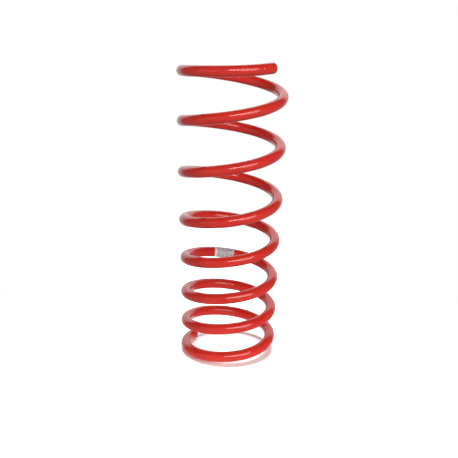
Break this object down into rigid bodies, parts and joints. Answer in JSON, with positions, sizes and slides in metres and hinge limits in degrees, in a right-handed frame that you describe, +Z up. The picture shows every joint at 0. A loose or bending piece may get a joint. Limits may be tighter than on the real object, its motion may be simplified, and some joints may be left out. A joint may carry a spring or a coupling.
{
  "type": "coil spring",
  "caption": "Progressive helical compression spring wound from round steel bar, with closed ends and a wrapped label. It shortens along its axis between two spring seats.",
  "frame": {"origin": "on the coil's axis in the plane of the lower spring seat, where the lower end coil's wire touches it", "axes": "+Z up the coil's axis from the lower seat to the upper seat; -Y is the side that is seen first; +X to the right when seen from there"},
  "size_m": [0.1436, 0.1438, 0.3953],
  "materials": {
    "coated_bar": "gloss red powder coat over shot-peened spring steel",
    "label": "satin silver-white self-adhesive film with grey print"
  },
  "bodies": {
    "lower_end_coil": {"lower_end_coil": "coated_bar"},
    "coil_1_back": {"coil_1_back": "coated_bar"},
    "coil_1_left": {"coil_1_left": "coated_bar"},
    "coil_1_front": {"coil_1_front": "coated_bar"},
    "coil_1_right": {"coil_1_right": "coated_bar"},
    "coil_2_back": {"coil_2_back": "coated_bar"},
    "coil_2_left": {"coil_2_left": "coated_bar"},
    "coil_2_front": {"coil_2_front": "coated_bar"},
    "coil_2_right": {"coil_2_right": "coated_bar"},
    "coil_3_back": {"coil_3_back": "coated_bar", "identification_label": "label"},
    "coil_3_left": {"coil_3_left": "coated_bar"},
    "coil_3_front": {"coil_3_front": "coated_bar"},
    "coil_3_right": {"coil_3_right": "coated_bar"},
    "coil_4_back": {"coil_4_back": "coated_bar"},
    "coil_4_left": {"coil_4_left": "coated_bar"},
    "coil_4_front": {"coil_4_front": "coated_bar"},
    "coil_4_right": {"coil_4_right": "coated_bar"},
    "coil_5_back": {"coil_5_back": "coated_bar"},
    "coil_5_left": {"coil_5_left": "coated_bar"},
    "coil_5_front": {"coil_5_front": "coated_bar"},
    "coil_5_right": {"coil_5_right": "coated_bar"},
    "coil_6_back": {"coil_6_back": "coated_bar"},
    "coil_6_left": {"coil_6_left": "coated_bar"},
    "coil_6_front": {"coil_6_front": "coated_bar"},
    "coil_6_right": {"coil_6_right": "coated_bar"},
    "upper_end_coil": {"upper_end_coil": "coated_bar"}
  },
  "joints": [
    {"name": "compression", "type": "hinge", "parent": "lower_end_coil", "child": "coil_1_back", "pos_m": [0.04039, 0.04039, 0.02699], "axis": [0.7018, -0.7032, -0.1142], "range_deg": [0, 2.84], "stiffness_Nm_per_rad": 6620},
    {"name": "twist_1_left", "type": "hinge", "parent": "coil_1_back", "child": "coil_1_left", "pos_m": [-0.04046, 0.04046, 0.03705], "axis": [0.7038, 0.702, -0.1085], "range_deg": [0, 4.69], "stiffness_Nm_per_rad": 3310},
    {"name": "twist_1_front", "type": "hinge", "parent": "coil_1_left", "child": "coil_1_front", "pos_m": [-0.04056, -0.04056, 0.0469], "axis": [-0.7017, 0.704, -0.11], "range_deg": [0, 5.81], "stiffness_Nm_per_rad": 3300},
    {"name": "twist_1_right", "type": "hinge", "parent": "coil_1_front", "child": "coil_1_right", "pos_m": [0.04067, -0.04067, 0.057], "axis": [-0.704, -0.7013, -0.1124], "range_deg": [0, 6.75], "stiffness_Nm_per_rad": 3290},
    {"name": "twist_2_back", "type": "hinge", "parent": "coil_1_right", "child": "coil_2_back", "pos_m": [0.04081, 0.04081, 0.06734], "axis": [0.7008, -0.704, -0.1147], "range_deg": [0, 5.82], "stiffness_Nm_per_rad": 3280},
    {"name": "twist_2_left", "type": "hinge", "parent": "coil_2_back", "child": "coil_2_left", "pos_m": [-0.04096, 0.04096, 0.07794], "axis": [0.7041, 0.7004, -0.117], "range_deg": [0, 5.02], "stiffness_Nm_per_rad": 3260},
    {"name": "twist_2_front", "type": "hinge", "parent": "coil_2_left", "child": "coil_2_front", "pos_m": [-0.04114, -0.04114, 0.0889], "axis": [-0.6998, 0.7039, -0.1221], "range_deg": [0, 5.88], "stiffness_Nm_per_rad": 3250},
    {"name": "twist_2_right", "type": "hinge", "parent": "coil_2_front", "child": "coil_2_right", "pos_m": [0.04134, -0.04134, 0.10043], "axis": [-0.7036, -0.6991, -0.1275], "range_deg": [0, 6.66], "stiffness_Nm_per_rad": 3230},
    {"name": "twist_3_back", "type": "hinge", "parent": "coil_2_right", "child": "coil_3_back", "pos_m": [0.04156, 0.04156, 0.11252], "axis": [0.6984, -0.7033, -0.1328], "range_deg": [0, 6.07], "stiffness_Nm_per_rad": 3210},
    {"name": "twist_3_left", "type": "hinge", "parent": "coil_3_back", "child": "coil_3_left", "pos_m": [-0.04179, 0.04179, 0.12517], "axis": [0.7029, 0.6978, -0.138], "range_deg": [0, 5.55], "stiffness_Nm_per_rad": 3190},
    {"name": "twist_3_front", "type": "hinge", "parent": "coil_3_left", "child": "coil_3_front", "pos_m": [-0.04203, -0.04203, 0.13819], "axis": [-0.6976, 0.703, -0.1385], "range_deg": [0, 6.07], "stiffness_Nm_per_rad": 3170},
    {"name": "twist_3_right", "type": "hinge", "parent": "coil_3_front", "child": "coil_3_right", "pos_m": [0.04229, -0.04229, 0.15127], "axis": [-0.7031, -0.6975, -0.1383], "range_deg": [0, 6.53], "stiffness_Nm_per_rad": 3150},
    {"name": "twist_4_back", "type": "hinge", "parent": "coil_3_right", "child": "coil_4_back", "pos_m": [0.04257, 0.04257, 0.16442], "axis": [0.6974, -0.7033, -0.138], "range_deg": [0, 6.37], "stiffness_Nm_per_rad": 3130},
    {"name": "twist_4_left", "type": "hinge", "parent": "coil_4_back", "child": "coil_4_left", "pos_m": [-0.04286, 0.04286, 0.17763], "axis": [0.7034, 0.6973, -0.1378], "range_deg": [0, 6.28], "stiffness_Nm_per_rad": 3110},
    {"name": "twist_4_front", "type": "hinge", "parent": "coil_4_left", "child": "coil_4_front", "pos_m": [-0.04316, -0.04316, 0.19134], "axis": [-0.6962, 0.7026, -0.1474], "range_deg": [0, 6.38], "stiffness_Nm_per_rad": 3090},
    {"name": "twist_4_right", "type": "hinge", "parent": "coil_4_front", "child": "coil_4_right", "pos_m": [0.04348, -0.04348, 0.20622], "axis": [-0.7015, -0.6949, -0.1583], "range_deg": [0, 6.36], "stiffness_Nm_per_rad": 3060},
    {"name": "twist_5_back", "type": "hinge", "parent": "coil_4_right", "child": "coil_5_back", "pos_m": [0.04381, 0.04381, 0.2223], "axis": [0.6935, -0.7004, -0.1688], "range_deg": [0, 6.75], "stiffness_Nm_per_rad": 3030},
    {"name": "twist_5_left", "type": "hinge", "parent": "coil_5_back", "child": "coil_5_left", "pos_m": [-0.04415, 0.04415, 0.23956], "axis": [0.6992, 0.6921, -0.1791], "range_deg": [0, 7.37], "stiffness_Nm_per_rad": 3000},
    {"name": "twist_5_front", "type": "hinge", "parent": "coil_5_left", "child": "coil_5_front", "pos_m": [-0.04449, -0.04449, 0.25733], "axis": [-0.6931, 0.6995, -0.1744], "range_deg": [0, 6.85], "stiffness_Nm_per_rad": 2980},
    {"name": "twist_5_right", "type": "hinge", "parent": "coil_5_front", "child": "coil_5_right", "pos_m": [0.0448, -0.0448, 0.27456], "axis": [-0.6999, -0.6942, -0.1679], "range_deg": [0, 5.91], "stiffness_Nm_per_rad": 2960},
    {"name": "twist_6_back", "type": "hinge", "parent": "coil_5_right", "child": "coil_6_back", "pos_m": [0.04506, 0.04506, 0.29122], "axis": [0.6953, -0.7003, -0.1615], "range_deg": [0, 7.01], "stiffness_Nm_per_rad": 2950},
    {"name": "twist_6_left", "type": "hinge", "parent": "coil_6_back", "child": "coil_6_left", "pos_m": [-0.0453, 0.0453, 0.30732], "axis": [0.7006, 0.6964, -0.1553], "range_deg": [0, 8.69], "stiffness_Nm_per_rad": 2940},
    {"name": "twist_6_front", "type": "hinge", "parent": "coil_6_left", "child": "coil_6_front", "pos_m": [-0.0455, -0.0455, 0.32332], "axis": [-0.6963, 0.6998, -0.1592], "range_deg": [0, 7.47], "stiffness_Nm_per_rad": 2920},
    {"name": "twist_6_right", "type": "hinge", "parent": "coil_6_front", "child": "coil_6_right", "pos_m": [0.04566, -0.04566, 0.33993], "axis": [-0.6989, -0.6961, -0.1646], "range_deg": [0, 5.42], "stiffness_Nm_per_rad": 2910},
    {"name": "twist_upper_end", "type": "hinge", "parent": "coil_6_right", "child": "upper_end_coil", "pos_m": [0.04578, 0.04578, 0.35716], "axis": [0.6958, -0.6979, -0.17], "range_deg": [0, 3.6], "stiffness_Nm_per_rad": 5800}
  ],
  "couplings": [
    {"joint": "twist_1_left", "follows": "compression", "ratio": 1.6505},
    {"joint": "twist_1_front", "follows": "compression", "ratio": 2.0428},
    {"joint": "twist_1_right", "follows": "compression", "ratio": 2.375},
    {"joint": "twist_2_back", "follows": "compression", "ratio": 2.0466},
    {"joint": "twist_2_left", "follows": "compression", "ratio": 1.7658},
    {"joint": "twist_2_front", "follows": "compression", "ratio": 2.0705},
    {"joint": "twist_2_right", "follows": "compression", "ratio": 2.3448},
    {"joint": "twist_3_back", "follows": "compression", "ratio": 2.1353},
    {"joint": "twist_3_left", "follows": "compression", "ratio": 1.9512},
    {"joint": "twist_3_front", "follows": "compression", "ratio": 2.135},
    {"joint": "twist_3_right", "follows": "compression", "ratio": 2.2989},
    {"joint": "twist_4_back", "follows": "compression", "ratio": 2.2427},
    {"joint": "twist_4_left", "follows": "compression", "ratio": 2.2103},
    {"joint": "twist_4_front", "follows": "compression", "ratio": 2.2444},
    {"joint": "twist_4_right", "follows": "compression", "ratio": 2.2393},
    {"joint": "twist_5_back", "follows": "compression", "ratio": 2.3751},
    {"joint": "twist_5_left", "follows": "compression", "ratio": 2.595},
    {"joint": "twist_5_front", "follows": "compression", "ratio": 2.4115},
    {"joint": "twist_5_right", "follows": "compression", "ratio": 2.0808},
    {"joint": "twist_6_back", "follows": "compression", "ratio": 2.4653},
    {"joint": "twist_6_left", "follows": "compression", "ratio": 3.0587},
    {"joint": "twist_6_front", "follows": "compression", "ratio": 2.6293},
    {"joint": "twist_6_right", "follows": "compression", "ratio": 1.9069},
    {"joint": "twist_upper_end", "follows": "compression", "ratio": 1.2655}
  ]
}
